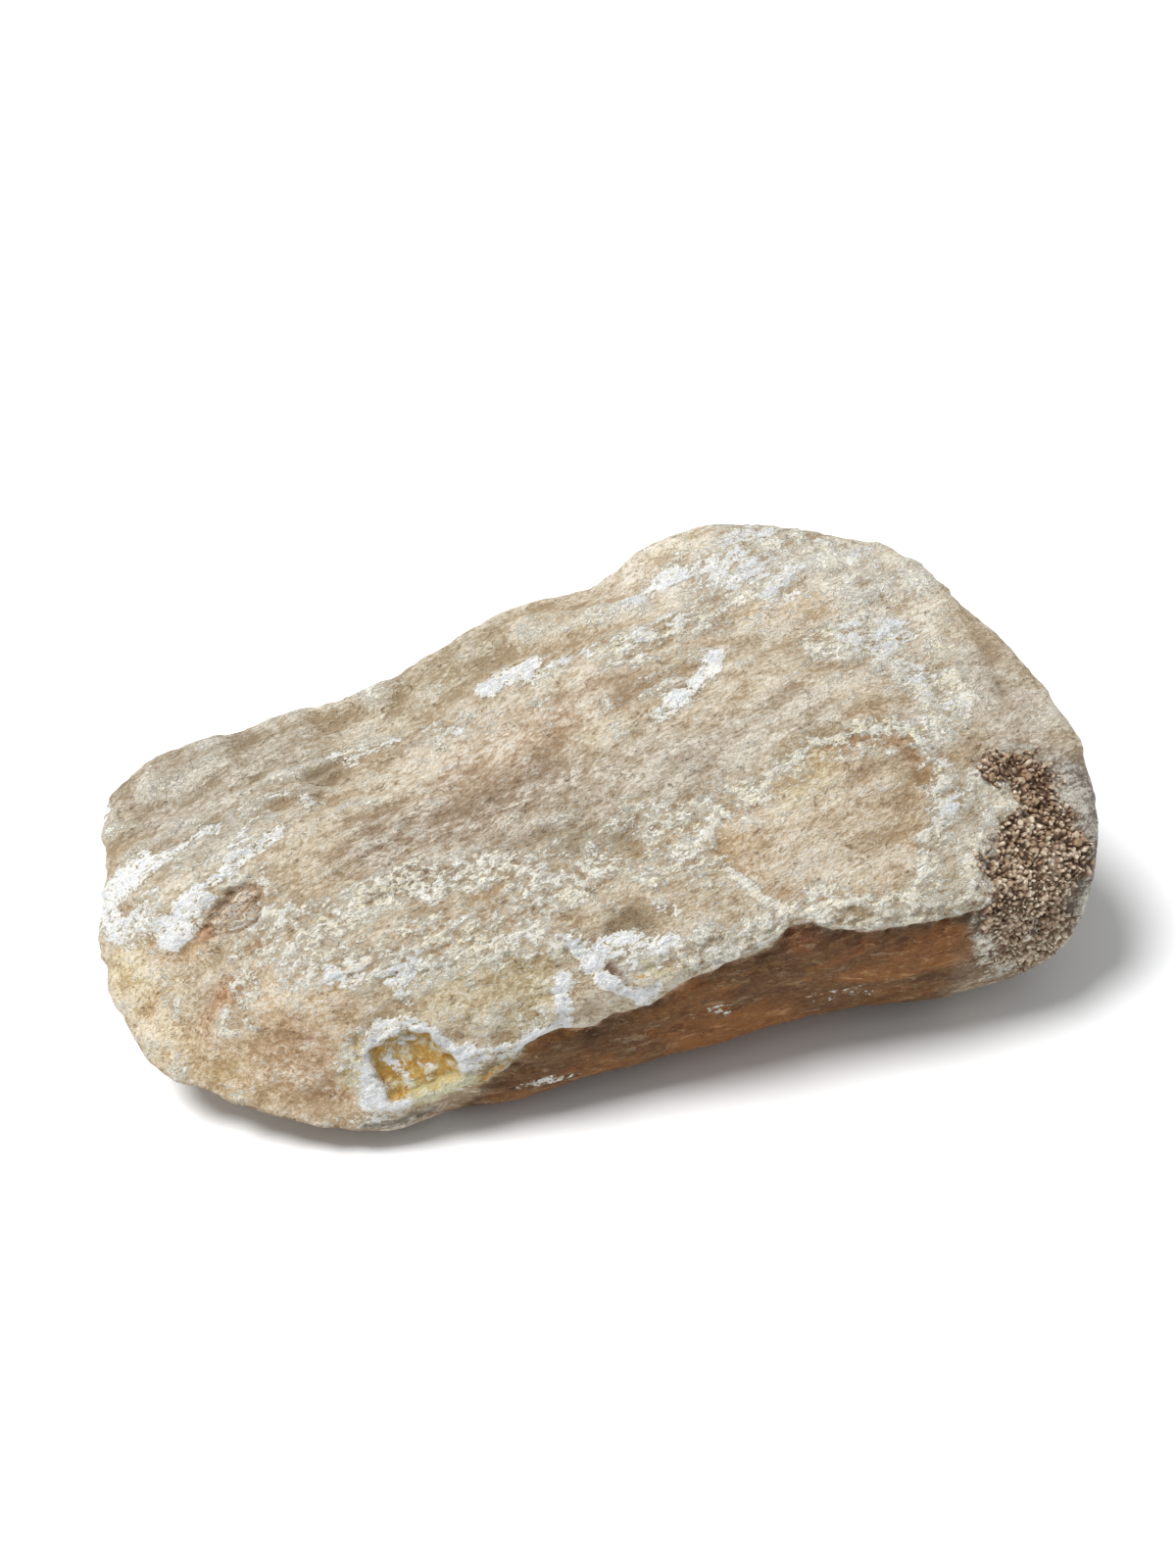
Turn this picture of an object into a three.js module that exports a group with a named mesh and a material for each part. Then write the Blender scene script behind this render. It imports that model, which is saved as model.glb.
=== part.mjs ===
// A rough piece of honeycomb calcite, as broken from the vein and left with its weathered rind.
//
// It is one solid stone: a thick wedge with a broad top face that leans towards the front, a lump
// on the back of that face, a slanting nose face at the left end, a front side that overhangs its
// foot, and a blunt, rounded right end. It rests on a worn flat underneath.
//
// Millimetres, +Z up, +X along the stone towards its thick end, +Y towards its back. The origin is
// the middle of the stone's box, at the level of the flat it rests on.

import * as THREE from "three";
import { ConvexHull } from "three/addons/math/ConvexHull.js";
import { ImprovedNoise } from "three/addons/math/ImprovedNoise.js";
import { mergeVertices } from "three/addons/utils/BufferGeometryUtils.js";

// Driving dimensions: the finished stone's box.
const LENGTH = 266;
const DEPTH = 143;
const HEIGHT = 95;

// How round the block-out's edges are worn, how much is laid on to make up for it, and a point deep
// inside the stone that every part of its surface can be seen from.
const EDGE_WEAR = 1.8;
const MADE_UP = 1.0;
const CORE = new THREE.Vector3(0, -6, 42);

// How finely the surface is divided, how often and how far its points are spaced out, how often the
// search along a ray is halved, and how close two points are before they count as one.
const DIVISIONS = 19;
const SPACING_PASSES = 24;
const SPACING_STEP = 0.5;
const HALVINGS = 18;
const SAME_POINT = 1e-4;

// The block-out: the corners that the stone's broken faces run between.
const CORNERS = {
  // The overhanging front side, its edge above and its foot below.
  edgeStart: [-62, -66, 11],
  edgeLeft: [-49, -69, 24],
  edgeMiddle: [-24, -71, 41],
  edgeRise: [6, -74, 48],
  edgeRight: [36, -76, 54],
  edgeEnd: [86, -82, 46],
  footLeft: [-46, -46, -4],
  footMiddle: [18, -44, -4],
  footRight: [97, -54, 1],
  // The nose face, and the ridge that parts it from the top.
  noseTip: [-86, -65, 5],
  noseLow: [-113, -45, 11],
  noseCheek: [-131, -28, 15],
  noseHeel: [-135, -9, 26],
  ridgeEnd: [-130, 5, 43],
  ridgeLeft: [-100, -20, 53],
  ridgeMiddle: [-78, -45, 50],
  // The top face from left to right, with the lump at its back.
  leftShelf: [-121, 40, 60],
  backLeft: [-78, 48, 70],
  topLeft: [-60, 8, 67],
  topMiddle: [-8, -10, 74],
  backMiddle: [4, 53, 81],
  lumpLeft: [54, 54, 94],
  lumpTop: [72, 46, 96],
  lumpRight: [108, 30, 95],
  topRight: [62, -28, 82],
  browRight: [93, -51, 71],
  // The rounded right end.
  shoulderBack: [128, -12, 80],
  shoulder: [135, -50, 64],
  waist: [130, -69, 47],
  heelUpper: [122, -77, 25],
  heelLower: [114, -74, 8],
  endUpper: [136, -30, 62],
  endMiddle: [138, -38, 42],
  endLower: [127, -50, 15],
  endBack: [132, 8, 46],
  endFoot: [112, 0, 2],
  // The back and the underside.
  backShelf: [-108, 49, 37],
  backCheek: [-72, 58, 38],
  backBelly: [0, 64, 46],
  backLump: [70, 66, 62],
  backRight: [110, 44, 60],
  backFootLeft: [-78, 44, -2],
  backFootRight: [70, 50, -3],
  leftFoot: [-104, 6, 4],
};

// Steps in the surface: a line along the crest, the side that stands higher, the height of the step
// and how far from the line it dies away.
const LEDGES = [
  {
    // The long step that crosses the top from the left shelf to the lump.
    crest: [[-112, 6, 54], [-76, 18, 64], [-40, 24, 71], [2, 28, 79], [40, 22, 88]],
    high: [0, -1, 0],
    rise: 2.0,
    reach: 15,
  },
  {
    // The lump's own lower edge.
    crest: [[27, 52, 86], [40, 40, 90], [58, 26, 92], [84, 6, 90]],
    high: [0.5, 1, 0.4],
    rise: 2.6,
    reach: 13,
  },
  {
    // The step above the broad front facet.
    crest: [[-62, -28, 62], [-24, -30, 68], [16, -34, 74], [54, -36, 80], [88, -34, 78]],
    high: [0, 1, 0],
    rise: 1.6,
    reach: 13,
  },
  {
    // The rim of the nose face.
    crest: [[-104, -16, 52], [-78, -42, 50], [-52, -54, 52], [-26, -60, 50]],
    high: [0, 1, 0.6],
    rise: 1.7,
    reach: 9,
  },
  {
    // The long step across the back.
    crest: [[-94, 52, 47], [-34, 60, 40], [36, 64, 52], [98, 50, 70]],
    high: [0, 0.3, -1],
    rise: 1.9,
    reach: 13,
  },
];
const STEP_WIDTH = 4;

// Hollows and swellings: a centre, the way the surface is pressed there, how far that reaches and how
// deep it is. A swelling has a negative depth.
const HOLLOWS = [
  // The saddle and the nick in the outline of the back, and the shallow trough along the top.
  { centre: [-38, 48, 69], inward: [0, -0.3, -1], reach: 31, depth: 9 },
  { centre: [29, 55, 89], inward: [0, -0.5, -1], reach: 13, depth: 5 },
  { centre: [-40, -6, 68], inward: [0, 0, -1], reach: 30, depth: 3 },
  // The recess beside the nose's rim and the swelling below it.
  { centre: [-92, -14, 52], inward: [0.2, 0.2, -1], reach: 11, depth: 3 },
  { centre: [-92, -38, 30], inward: [0.5, 0.7, -0.6], reach: 22, depth: -2 },
  // The foot of the front side, which is drawn in along its length.
  { centre: [-8, -58, 6], inward: [0, 1, 0.4], reach: 34, depth: 4 },
  { centre: [48, -64, 8], inward: [0, 1, 0.4], reach: 36, depth: 4 },
  // The two places where the rind has broken off over clear crystal.
  { centre: [-65, -60, 26], inward: [0.4, 0.8, -0.5], reach: 13, depth: 2.2 },
  { centre: [-10, -68, 47], inward: [0.2, 0.7, -0.7], reach: 10, depth: 1.8 },
  // The pitted place on the top, the nick in the left end and the dished front facet.
  { centre: [-65, 14, 64], inward: [0, 0, -1], reach: 9, depth: 2.5 },
  { centre: [-125, 13, 47], inward: [0.8, 0, -0.6], reach: 8, depth: 2.5 },
  { centre: [54, -64, 62], inward: [0, 0.7, -0.7], reach: 28, depth: 1.5 },
  // The scooped back and its chipped lower corner.
  { centre: [34, 62, 30], inward: [0, -1, 0.2], reach: 34, depth: 5 },
  { centre: [-92, 50, 24], inward: [0.5, -1, 0], reach: 20, depth: 4 },
];

// Waves of the weathered rind, from broad to fine: their length and height.
const WAVES = [
  { length: 74, height: 3.2 },
  { length: 31, height: 1.8 },
  { length: 14, height: 0.8 },
];

// Where in the field of noise the stone lies.
const NOISE_START = new THREE.Vector3(7.3, 2.1, 4.6);

const noise = new ImprovedNoise();

function hullPlanes(corners) {
  const points = Object.values(corners).map((p) => new THREE.Vector3(...p));
  return new ConvexHull().setFromPoints(points).faces.map((face) => ({
    normal: face.normal.clone(),
    level: face.constant,
  }));
}

// How far a point lies outside the block-out, with its edges worn round: negative inside.
function outsideBy(point, planes) {
  const gaps = planes.map((plane) => plane.normal.dot(point) - plane.level);
  const most = Math.max(...gaps);
  const sum = gaps.reduce((total, gap) => total + Math.exp((gap - most) / EDGE_WEAR), 0);
  return most + EDGE_WEAR * Math.log(sum) - MADE_UP;
}

// The point where the ray from the core leaves the worn block-out, found by halving.
function onBlock(direction, planes) {
  let inside = 0;
  let outside = LENGTH;
  const point = new THREE.Vector3();
  for (let step = 0; step < HALVINGS; step += 1) {
    const middle = (inside + outside) / 2;
    point.copy(CORE).addScaledVector(direction, middle);
    if (outsideBy(point, planes) > 0) outside = middle;
    else inside = middle;
  }
  return point;
}

// The offset from a point to the nearest place on a crest line.
function fromCrest(point, crest) {
  const closest = new THREE.Vector3();
  const best = new THREE.Vector3(Infinity, Infinity, Infinity);
  for (let i = 1; i < crest.length; i += 1) {
    const segment = new THREE.Line3(new THREE.Vector3(...crest[i - 1]), new THREE.Vector3(...crest[i]));
    segment.closestPointToPoint(point, true, closest);
    const offset = point.clone().sub(closest);
    if (offset.lengthSq() < best.lengthSq()) best.copy(offset);
  }
  return best;
}

function ledgeHeight(point, { crest, high, rise, reach }) {
  const offset = fromCrest(point, crest);
  const side = offset.dot(new THREE.Vector3(...high).normalize());
  return rise * Math.tanh(side / STEP_WIDTH) * Math.exp(-offset.length() / reach);
}

// Presses one hollow in, with everything near it moving the same way, so that the surface never
// runs through itself.
function pressed(point, { centre, inward, reach, depth }) {
  const away = point.distanceTo(new THREE.Vector3(...centre)) / reach;
  const way = new THREE.Vector3(...inward).normalize();
  return point.clone().addScaledVector(way, depth * Math.exp(-away * away));
}

function waveHeight(point, { length, height }) {
  const { x, y, z } = point.clone().divideScalar(length).add(NOISE_START);
  return height * noise.noise(x, y, z);
}

function reliefAt(point) {
  const sum = (list, heightOf) => list.reduce((total, item) => total + heightOf(point, item), 0);
  return sum(LEDGES, ledgeHeight) + sum(WAVES, waveHeight);
}

// An evenly divided ball, stretched to the stone's proportions, whose points give the directions
// in which the surface is looked for.
function dividedBall() {
  const ball = new THREE.IcosahedronGeometry(1, DIVISIONS);
  ball.deleteAttribute("normal");
  ball.deleteAttribute("uv");
  return mergeVertices(ball, SAME_POINT).scale(LENGTH, DEPTH, HEIGHT);
}

// The points that share an edge with each point of a mesh.
function neighboursOf(geometry) {
  const neighbours = Array.from({ length: geometry.getAttribute("position").count }, () => new Set());
  const corners = geometry.getIndex().array;
  for (let i = 0; i < corners.length; i += 3) {
    const triangle = [corners[i], corners[i + 1], corners[i + 2]];
    triangle.forEach((corner) => triangle.forEach((other) => neighbours[corner].add(other)));
  }
  return neighbours.map((set) => [...set]);
}

// Moves each point towards its neighbours, most of all towards the far ones, and back onto the
// block-out, so that the triangles come out much the same size all over.
function spaceOut(geometry, neighbours, planes) {
  const place = geometry.getAttribute("position");
  const before = place.clone();
  const here = new THREE.Vector3();
  const near = new THREE.Vector3();
  const pull = new THREE.Vector3();
  for (let i = 0; i < place.count; i += 1) {
    here.fromBufferAttribute(before, i);
    pull.set(0, 0, 0);
    let weight = 0;
    neighbours[i].forEach((j) => {
      near.fromBufferAttribute(before, j).sub(here);
      const length = near.length();
      pull.addScaledVector(near, length);
      weight += length;
    });
    here.addScaledVector(pull, SPACING_STEP / weight).sub(CORE).normalize();
    place.setXYZ(i, ...onBlock(here, planes));
  }
}

function calciteStone() {
  const planes = hullPlanes(CORNERS);
  const stone = dividedBall();
  const place = stone.getAttribute("position");
  const point = new THREE.Vector3();
  for (let i = 0; i < place.count; i += 1) {
    point.fromBufferAttribute(place, i).normalize();
    place.setXYZ(i, ...onBlock(point, planes));
  }
  const neighbours = neighboursOf(stone);
  for (let pass = 0; pass < SPACING_PASSES; pass += 1) spaceOut(stone, neighbours, planes);
  stone.computeVertexNormals();
  const facing = stone.getAttribute("normal").clone();
  for (let i = 0; i < place.count; i += 1) {
    point.fromBufferAttribute(place, i);
    const outward = new THREE.Vector3().fromBufferAttribute(facing, i);
    point.addScaledVector(outward, reliefAt(point));
    const shaped = HOLLOWS.reduce(pressed, point);
    place.setXYZ(i, shaped.x, shaped.y, Math.max(shaped.z, 0));
  }
  return fitToBox(stone);
}

// Brings the stone to its driving dimensions, with the flat underneath at the origin's level.
function fitToBox(geometry) {
  geometry.computeBoundingBox();
  const size = geometry.boundingBox.getSize(new THREE.Vector3());
  const middle = geometry.boundingBox.getCenter(new THREE.Vector3());
  geometry.translate(-middle.x, -middle.y, 0);
  geometry.scale(LENGTH / size.x, DEPTH / size.y, HEIGHT / size.z);
  geometry.computeVertexNormals();
  return geometry;
}

const rind = new THREE.MeshStandardMaterial({ color: 0xc9b294, roughness: 0.85, metalness: 0 });

const calcite = new THREE.Mesh(calciteStone(), rind);
calcite.name = "calcite_stone";

const specimen = new THREE.Group();
specimen.add(calcite);

export default specimen;
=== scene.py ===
# %% [markdown]
# # A rough piece of honeycomb calcite
#
# The object is one broken stone, a hand and a half long. Its weathered rind is tan and cream, with
# crumbling white chalk along the crests, a crust of small brown crystals at the thick end, and two
# places where the rind has broken away and the honey-coloured calcite inside shows.
#
# The solid model fixes the stone's size and its large faces. This script lays a fine skin over it:
# ledges, pits, grains and crystals as real shape, then the paints of the rind over them.

# %% Load the solid model
import math

import bmesh
import bpy
import numpy as np
from mathutils import Matrix, Vector, noise
from mathutils.bvhtree import BVHTree


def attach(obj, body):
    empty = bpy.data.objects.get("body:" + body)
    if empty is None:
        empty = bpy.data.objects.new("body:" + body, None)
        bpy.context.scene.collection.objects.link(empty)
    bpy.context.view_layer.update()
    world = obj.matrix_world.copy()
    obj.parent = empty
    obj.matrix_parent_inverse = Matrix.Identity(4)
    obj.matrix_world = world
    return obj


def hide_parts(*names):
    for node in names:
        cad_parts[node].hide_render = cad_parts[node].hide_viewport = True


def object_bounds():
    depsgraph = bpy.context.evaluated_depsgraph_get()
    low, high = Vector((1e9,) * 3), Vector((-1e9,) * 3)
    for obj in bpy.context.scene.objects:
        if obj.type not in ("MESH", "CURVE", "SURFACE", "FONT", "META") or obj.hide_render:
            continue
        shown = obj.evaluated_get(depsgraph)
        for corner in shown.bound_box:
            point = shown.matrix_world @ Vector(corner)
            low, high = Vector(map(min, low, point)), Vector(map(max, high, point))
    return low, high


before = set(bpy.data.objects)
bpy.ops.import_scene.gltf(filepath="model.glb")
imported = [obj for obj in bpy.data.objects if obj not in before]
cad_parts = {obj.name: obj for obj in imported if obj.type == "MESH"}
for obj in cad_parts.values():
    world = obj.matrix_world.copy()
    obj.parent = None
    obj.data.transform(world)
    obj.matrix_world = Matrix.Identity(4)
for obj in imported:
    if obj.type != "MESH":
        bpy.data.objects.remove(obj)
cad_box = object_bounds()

MM = 0.001
NOISE_SEED = 5

# Without a seed, noise_vector starts from the clock.
noise.seed_set(NOISE_SEED)
print("the solid's box in mm:", [[round(v / MM) for v in corner] for corner in cad_box])

# %% [markdown]
# ## The camera
#
# A stone lying on a table is looked down on. This camera stands 38 degrees above the table and 21
# degrees to the left of straight on, which shows the broad top, the slanting nose at the left and
# the dark overhang along the front. It comes first, because marks are placed by looking through it.

# %% Place the camera
PICTURE_WIDTH = 1200
PICTURE_HEIGHT = 1600
LENS_MM = 50
SENSOR_MM = 36
CAMERA_TURN = math.radians(-21)
CAMERA_RISE = math.radians(38)
CAMERA_DISTANCE = 0.6
CAMERA_TARGET = Vector((0.0048, 0.0099, 0.05))

TO_CAMERA = Vector((
    math.sin(CAMERA_TURN) * math.cos(CAMERA_RISE),
    -math.cos(CAMERA_TURN) * math.cos(CAMERA_RISE),
    math.sin(CAMERA_RISE),
))
CAMERA_PLACE = CAMERA_TARGET + TO_CAMERA * CAMERA_DISTANCE


def make_camera():
    data = bpy.data.cameras.new("camera")
    data.lens = LENS_MM
    data.sensor_width = SENSOR_MM
    camera = bpy.data.objects.new("camera", data)
    bpy.context.scene.collection.objects.link(camera)
    camera.location = CAMERA_PLACE
    camera.rotation_euler = TO_CAMERA.to_track_quat("Z", "Y").to_euler()
    bpy.context.scene.camera = camera
    return camera


camera = make_camera()
print("the camera stands at", [round(v, 3) for v in CAMERA_PLACE])

# %% [markdown]
# ## A smooth start
#
# The solid is made of flat triangles about 5 mm across. A copy of it is merged into one skin and
# halved twice, and after each halving its points are relaxed towards their neighbours. A
# Subdivision Surface modifier would do nearly the same, but halving the edges ourselves lets us
# leave the hidden flat coarse and halve once more where the stone is rough.

# %% Copy the solid and halve its edges twice
MERGE = 0.01
HALVINGS = 2
RELAX = 0.5
FLAT_TOP = 0.1
EVERY_WAY = {"use_axis_x": True, "use_axis_y": True, "use_axis_z": True}


def relax(bm):
    bmesh.ops.smooth_vert(bm, verts=bm.verts, factor=RELAX, **EVERY_WAY)


def halve(bm, edges):
    bmesh.ops.subdivide_edges(bm, edges=edges, cuts=1, use_grid_fill=True)
    bmesh.ops.triangulate(bm, faces=[face for face in bm.faces if len(face.verts) > 3])


def above_flat(bm):
    return [e for e in bm.edges if max(v.co.z for v in e.verts) > FLAT_TOP * MM]


def smooth_start(node):
    bm = bmesh.new()
    bm.from_mesh(node.data)
    bmesh.ops.remove_doubles(bm, verts=bm.verts, dist=MERGE * MM)
    for _ in range(HALVINGS):
        halve(bm, above_flat(bm))
        relax(bm)
    bm.normal_update()
    return bm


skin = smooth_start(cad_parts["calcite_stone"])
stone_tree = BVHTree.FromBMesh(skin)
print("smooth start:", len(skin.verts), "points,", len(skin.faces), "triangles")

# %% [markdown]
# ## Finding places
#
# It is easiest to say where a patch of chalk or a stain lies by pointing at it in the picture. A
# pixel of the picture is a ray from the camera, and the ray is followed to the stone. From then on
# the place is a point on the stone, so the mark stays there from whatever side it is seen. Places on
# the sides that the picture doesn't show are given in millimetres instead.

# %% Follow a pixel to the stone
FAR = 1000.0
OFF_FACE = 14.0
FOCAL_PIXELS = LENS_MM / SENSOR_MM * PICTURE_HEIGHT
RIGHTWARD = Vector((math.cos(CAMERA_TURN), math.sin(CAMERA_TURN), 0))
UPWARD = TO_CAMERA.cross(RIGHTWARD)


def on_stone(place):
    if len(place) == 3:
        return stone_tree.find_nearest(Vector(place) * MM)[0] / MM
    across = (place[0] - PICTURE_WIDTH / 2) / FOCAL_PIXELS
    down = (place[1] - PICTURE_HEIGHT / 2) / FOCAL_PIXELS
    ray = (RIGHTWARD * across - UPWARD * down - TO_CAMERA).normalized()
    found = stone_tree.ray_cast(CAMERA_PLACE, ray)[0]
    if found is None:
        found = stone_tree.find_nearest(CAMERA_PLACE + ray * CAMERA_DISTANCE)[0]
    return found / MM


# The offset in mm from the nearest place on a line to each point.
def offsets_from(points, line):
    best = np.full(points.shape, FAR)
    ends = line if len(line) > 1 else [line[0], line[0]]
    for start, end in zip(ends[:-1], ends[1:]):
        start = np.array(start)
        run = np.array(end) - start
        length = max(float(run @ run), 1e-9)
        share = np.clip((points - start) @ run / length, 0, 1)
        offset = points - start - share[:, None] * run
        nearer = (offset ** 2).sum(1) < (best ** 2).sum(1)
        best[nearer] = offset[nearer]
    return best


# How strongly a brush stroke covers each point: all of its strength on the line, none past its reach.
def stroke(points, reach, strength, *places):
    away = np.linalg.norm(offsets_from(points, [on_stone(p) for p in places]), axis=1)
    share = np.clip(1.25 * (1 - away / reach), 0, 1)
    return strength * share * share * (3 - 2 * share)


def smooth_share(values, low, high):
    share = np.clip((values - low) / (high - low), 0, 1)
    return share * share * (3 - 2 * share)


def strokes(points, brushes, spread=1.0):
    cover = np.zeros(len(points))
    for reach, strength, *places in brushes:
        cover = np.maximum(cover, stroke(points, reach * spread, strength, *places))
    return cover


# How deep inside an outline each point lies, in mm along the face, and below zero outside of it.
def depth_inside(points, *places):
    corners = np.array([on_stone(p) for p in places])
    middle = corners.mean(0)
    axes = np.linalg.svd(corners - middle)[2].T
    u, v, off = ((points - middle) @ axes).T
    ring = (corners - middle) @ axes
    nearest = np.full(len(points), FAR)
    inside = np.zeros(len(points), bool)
    for (u0, v0, _), (u1, v1, _) in zip(ring, np.roll(ring, -1, axis=0)):
        run = max((u1 - u0) ** 2 + (v1 - v0) ** 2, 1e-9)
        share = np.clip(((u - u0) * (u1 - u0) + (v - v0) * (v1 - v0)) / run, 0, 1)
        nearest = np.minimum(nearest, np.hypot(u - u0 - share * (u1 - u0), v - v0 - share * (v1 - v0)))
        rise = np.where(v1 == v0, 1e-9, v1 - v0)
        inside ^= ((v0 > v) != (v1 > v)) & (u < (u1 - u0) * (v - v0) / rise + u0)
    return np.where(np.abs(off) > OFF_FACE, -FAR, np.where(inside, nearest, -nearest))


print("the middle of the picture is at", [round(v) for v in on_stone((600, 800))], "mm on the stone")

# %% [markdown]
# ## Where the stone changes
#
# Each list below is a set of brush strokes: how far the stroke reaches to each side in millimetres,
# how strong it is, and the places it runs through. White chalk is the softest and lies in patches.
# Cream crumbs follow the broken edges of the layers and make a network between them.

# %% Name the white chalk
CHALK = [
    # The white shoulder at the left end and the edge above it.
    (8, 1.1, (104, 926), (116, 906), (140, 886)),
    (5, 0.9, (130, 902), (150, 888), (168, 872)),
    (6, 0.95, (110, 940), (126, 948), (140, 938)),
    (5, 0.75, (146, 948), (156, 934), (152, 916)),
    (5.4, 1.05, (170, 948), (190, 932), (208, 914)),
    (3.2, 1.0, (206, 912), (226, 894), (250, 868), (284, 845)),
    (3.4, 1.0, (105, 824), (102, 850), (106, 884)),
    (2.4, 0.8, (152, 964), (160, 966)),
    # White flecks in lines on the left shelf, and the line that climbs to the saddle.
    (2.8, 0.9, (186, 862), (204, 850), (220, 838)),
    (2.6, 0.6, (220, 838), (240, 828), (258, 817)),
    (2.4, 0.7, (206, 880), (216, 870)),
    (2.4, 0.75, (232, 866), (250, 846)),
    (2.6, 0.8, (276, 812), (306, 815), (330, 820)),
    (3.4, 0.75, (330, 769), (354, 778), (375, 766), (417, 750), (432, 741), (465, 745)),
    # The white patches under the lump.
    (5.5, 1.1, (498, 702), (516, 690), (538, 680)),
    (3.4, 0.85, (546, 690), (574, 676), (600, 664), (628, 652)),
    (6, 0.75, (636, 650), (660, 640), (690, 630)),
    (4, 1.15, (688, 716), (704, 700), (718, 686), (728, 672)),
    (2.6, 0.8, (662, 732), (676, 726)),
    (2.6, 0.7, (711, 664), (724, 660)),
    (3, 0.6, (640, 742), (650, 736)),
    (3, 0.5, (542, 716), (560, 712)),
    # The mottled white of the lump and its left rim.
    (6, 0.9, (742, 552), (762, 548), (774, 540)),
    (13, 0.82, (738, 584), (764, 570), (796, 588)),
    (8, 0.6, (800, 548), (840, 552), (870, 566)),
    (4, 0.95, (640, 566), (664, 550), (690, 538), (714, 532)),
    (3, 0.7, (680, 567), (690, 565)),
    (4, 0.5, (850, 548), (880, 556)),
    (4, 0.75, (896, 580), (914, 586)),
    (8, 0.95, (872, 650), (890, 656), (912, 644)),
    (5.5, 0.9, (930, 684), (948, 690)),
    (4.5, 0.85, (950, 708), (964, 716)),
    (4, 0.7, (940, 750), (952, 766), (966, 782)),
    (4.5, 0.95, (972, 826), (982, 812)),
    (3, 0.6, (951, 822), (956, 824)),
    (3, 0.45, (1000, 776), (1010, 775)),
    (3.5, 0.5, (848, 806), (864, 802)),
    (3, 0.5, (974, 892), (982, 896)),
    # White crumbs on the long front crest.
    (3.4, 0.95, (336, 992), (350, 996), (362, 998)),
    (2.4, 0.7, (346, 979), (356, 982)),
    (4.2, 0.95, (394, 998), (410, 990), (424, 978)),
    (2.6, 0.85, (406, 1004), (414, 1022)),
    (4, 0.6, (288, 931), (306, 931)),
    (4, 0.6, (378, 914), (420, 904), (456, 901)),
    (4, 0.55, (546, 906), (570, 896), (600, 900)),
    (3, 0.7, (672, 924), (690, 926)),
    # The rims of the two windows, and the tongue between them.
    (2.8, 0.85, (470, 1070), (500, 1070), (524, 1070)),
    (2.8, 1.0, (528, 1068), (540, 1052), (558, 1048), (576, 1044)),
    (2.4, 0.6, (352, 1142), (392, 1133), (432, 1125), (466, 1112)),
    (2.4, 0.85, (380, 1070), (400, 1062), (416, 1058)),
    (2.2, 0.9, (396, 1086), (408, 1098), (420, 1110)),
    (1.8, 0.8, (423, 1074), (427, 1086)),
    (1.8, 0.8, (436, 1088), (438, 1100), (432, 1110)),
    (2.2, 0.6, (384, 1104), (392, 1114), (410, 1116)),
    (3.2, 1.1, (576, 1034), (574, 1012), (578, 994)),
    (3.2, 1.2, (582, 962), (598, 972), (605, 990), (620, 1004), (638, 1014)),
    (3.2, 1.1, (610, 960), (630, 957), (650, 961), (668, 964), (686, 962)),
    (2.6, 0.85, (678, 966), (673, 982)),
    (2.6, 0.75, (626, 972), (642, 980), (634, 992)),
    (3, 1.05, (642, 1012), (656, 1018), (670, 1010)),
    # Scuffs on the overhang.
    (3, 0.5, (712, 1036), (730, 1032), (746, 1031)),
    (3, 0.5, (834, 1016), (860, 1012), (886, 1010)),
    (2.2, 0.55, (519, 1112), (548, 1104), (580, 1098)),
    (4, 0.6, (344, 1148), (362, 1152)),
]

# %% [markdown]
# Cream crumbs cover more of the stone than chalk, with a weaker stroke, so that they stay broken.

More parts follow.
